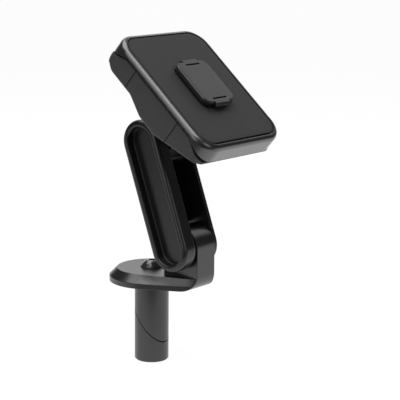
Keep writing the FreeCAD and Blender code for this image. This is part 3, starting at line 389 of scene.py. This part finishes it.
# cloud is how far roughness varies in patches; widths and reaches are in metres
finishSettings = {
    "blackAnodised": {
        "colour": (0.008, 0.008, 0.0085), "wornAndHighlit": (0.05, 0.05, 0.052), "metal": 0.0,
        "specular": 0.85, "coat": 0.0, "rough": 0.28, "cloud": 0.05,
        "grainScale": 5200.0, "grainDepth": 0.05, "edgeWidth": 0.0005,
        "gapReach": 0.001, "gapShade": 2.0,
    },
    "armCoat": {
        "colour": (0.007, 0.007, 0.0073), "wornAndHighlit": (0.04, 0.04, 0.041), "metal": 0.0,
        "specular": 0.58, "coat": 0.0, "rough": 0.31, "cloud": 0.06,
        "grainScale": 5200.0, "grainDepth": 0.15, "edgeWidth": 0.0005,
        "gapReach": 0.0006, "gapShade": 2.0,
    },
    "blackMoulding": {
        "colour": (0.040, 0.040, 0.0405), "wornAndHighlit": (0.055, 0.055, 0.056), "metal": 0.0,
        "specular": 0.55, "coat": 0.0, "rough": 0.46, "cloud": 0.08,
        "grainScale": 3600.0, "grainDepth": 0.25, "edgeWidth": 0.0005,
        "gapReach": 0.0025, "gapShade": 5.0,
    },
    "trayPlastic": {
        "colour": (0.008, 0.008, 0.0085), "wornAndHighlit": (0.03, 0.03, 0.031), "metal": 0.0,
        "specular": 1.0, "coat": 0.6, "rough": 0.29, "cloud": 0.05,
        "grainScale": 4200.0, "grainDepth": 0.015, "edgeWidth": 0.0001,
        "gapReach": 0.002, "gapShade": 3.0,
    },
    "softPad": {
        "colour": (0.036, 0.036, 0.037), "wornAndHighlit": (0.036, 0.036, 0.037), "metal": 0.0,
        "specular": 0.3, "coat": 0.0, "rough": 0.62, "cloud": 0.08,
        "grainScale": 2600.0, "grainDepth": 0.4, "edgeWidth": 0.0003,
        "gapReach": 0.002, "gapShade": 2.0,
    },
    "latchPlastic": {
        "colour": (0.014, 0.014, 0.015), "wornAndHighlit": (0.16, 0.16, 0.165), "metal": 0.0,
        "specular": 0.5, "coat": 0.0, "rough": 0.30, "cloud": 0.06,
        "grainScale": 4200.0, "grainDepth": 0.10, "edgeWidth": 0.0007,
        "gapReach": 0.001, "gapShade": 2.0,
    },
    "darkSteel": {
        "colour": (0.10, 0.10, 0.105), "wornAndHighlit": (0.3, 0.3, 0.3), "metal": 1.0,
        "specular": 0.5, "coat": 0.0, "rough": 0.33, "cloud": 0.1,
        "grainScale": 2400.0, "grainDepth": 0.1, "edgeWidth": 0.0003,
        "gapReach": 0.001, "gapShade": 1.0,
    },
    "blackOxide": {
        "colour": (0.018, 0.018, 0.019), "wornAndHighlit": (0.06, 0.06, 0.062), "metal": 0.0,
        "specular": 0.6, "coat": 0.8, "rough": 0.26, "cloud": 0.04,
        "grainScale": 3200.0, "grainDepth": 0.01, "edgeWidth": 0.0001,
        "gapReach": 0.003, "gapShade": 3.0,
    },
    "frictionLining": {
        "colour": (0.03, 0.03, 0.03), "wornAndHighlit": (0.05, 0.05, 0.05), "metal": 0.0,
        "specular": 0.3, "coat": 0.0, "rough": 0.7, "cloud": 0.1,
        "grainScale": 1800.0, "grainDepth": 0.4, "edgeWidth": 0.0002,
        "gapReach": 0.001, "gapShade": 2.0,
    },
    "isolatorRubber": {
        "colour": (0.012, 0.012, 0.012), "wornAndHighlit": (0.02, 0.02, 0.02), "metal": 0.0,
        "specular": 0.3, "coat": 0.0, "rough": 0.65, "cloud": 0.1,
        "grainScale": 1500.0, "grainDepth": 0.3, "edgeWidth": 0.0003,
        "gapReach": 0.002, "gapShade": 2.0,
    },
}
finishes = {name: finish(name, settings) for name, settings in finishSettings.items()}
slotFinish = {
    "black_anodised": "blackAnodised",
    "black_moulding": "blackMoulding",
    "soft_pad": "softPad",
    "latch_plastic": "latchPlastic",
    "dark_steel": "darkSteel",
    "friction_lining": "frictionLining",
    "isolator_rubber": "isolatorRubber",
}
# the arm is duller than the base, the tray glossier than the housing, the top bolt black
nodeFinish = {
    "arm_link": "armCoat",
    "arm_side_plate": "armCoat",
    "face_plate": "trayPlastic",
    "expander_bolt": "blackOxide",
}
for part in frame["record"]["subparts"]:
    node = frame["nodes"][part["node"]]
    node.data.materials.clear()
    node.data.materials.append(finishes[nodeFinish.get(part["node"], slotFinish[part["material_slot"]])])
print("finishes made:", len(finishes))


# Head frame: across, along the face and out of it, from the upper hinge

jointTable = {joint["name"]: joint for joint in frame["joints"]}
headPivot = np.array(jointTable["head_pivot"]["pos_m"])
headAlong = np.array(jointTable["lock_tab_lower_slide"]["axis"])
headAcross = np.array([1.0, 0.0, 0.0])
headOut = np.cross(headAcross, headAlong)


def onHead(across, along, out):
    # P = pivot + across * headAcross + along * headAlong + out * headOut
    onFace = headPivot + across[..., None] * headAcross + along[..., None] * headAlong
    return onFace + out[..., None] * headOut


def roundedOutline(width, length, radius, count):
    # count points round a rectangle with corner arcs: the first half of each quarter goes round the arc,
    # the second half along the straight after it
    quarterCount = count // 4
    step = np.arange(quarterCount * 4)
    quarter, portion = step // quarterCount, (step % quarterCount) / quarterCount
    centre = np.array([[1, 1], [-1, 1], [-1, -1], [1, -1]]) * [width / 2 - radius, length / 2 - radius]
    turn = (quarter + np.minimum(2 * portion, 1)) * np.pi / 2
    spoke = radius * np.stack([np.cos(turn), np.sin(turn)], axis=-1)
    arc = centre[quarter] + spoke
    following = centre[(quarter + 1) % 4] + spoke
    slide = np.maximum(2 * portion - 1, 0)[:, None]
    return arc * (1 - slide) + following * slide


# Soft pad in the tray, with a window for the latch

padSettings = {
    "width": 0.0656, "length": 0.0791, "corner": 0.0093,
    "windowWidth": 0.0238, "windowLength": 0.0284, "windowCorner": 0.0035,
    "centre": -0.0005,  # along the face, from the hinge
    "floor": 0.04252, "top": 0.0437,  # out from the hinge
    "softEdge": 0.0004,
    "points": 256,  # round the outline
    "edgePoints": 6,
    "facePoints": 9,  # from window to rim
}


def buildPad(settings):
    # P(s, w) = window(s) + w * (rim(s) - window(s)), lifted by a profile with a quarter-round at both edges
    rim = roundedOutline(settings["width"], settings["length"], settings["corner"], settings["points"])
    window = roundedOutline(
        settings["windowWidth"], settings["windowLength"], settings["windowCorner"], settings["points"]
    )
    floor, top, soft = settings["floor"], settings["top"], settings["softEdge"]
    turn = np.linspace(0, np.pi / 2, settings["edgePoints"])
    rise = top - soft + soft * np.sin(turn)
    creep = soft * (1 - np.cos(turn))
    middle = np.linspace(0, 1, settings["facePoints"])[1:-1]
    inset = np.concatenate([[0], creep, 0 * middle, -creep[::-1], [0]])  # away from either edge
    share = np.concatenate([[0], 0 * turn, middle, 0 * turn + 1, [1]])
    level = np.concatenate([[floor], rise, 0 * middle + top, rise[::-1], [floor]])
    gap = rim - window
    unit = gap / np.linalg.norm(gap, axis=-1, keepdims=True)
    plane = window[:, None] + share[None, :, None] * gap[:, None]
    plane = plane + inset[None, :, None] * unit[:, None]
    heights = np.broadcast_to(level, plane.shape[:2])
    points = onHead(plane[..., 0], plane[..., 1] + settings["centre"], heights)
    pad = gridObject("softFacePad", points, closeU=True, closeV=True)
    pad.data.materials.append(finishes["softPad"])
    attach(pad, "head")
    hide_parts("face_pad")


buildPad(padSettings)
print("pad built")
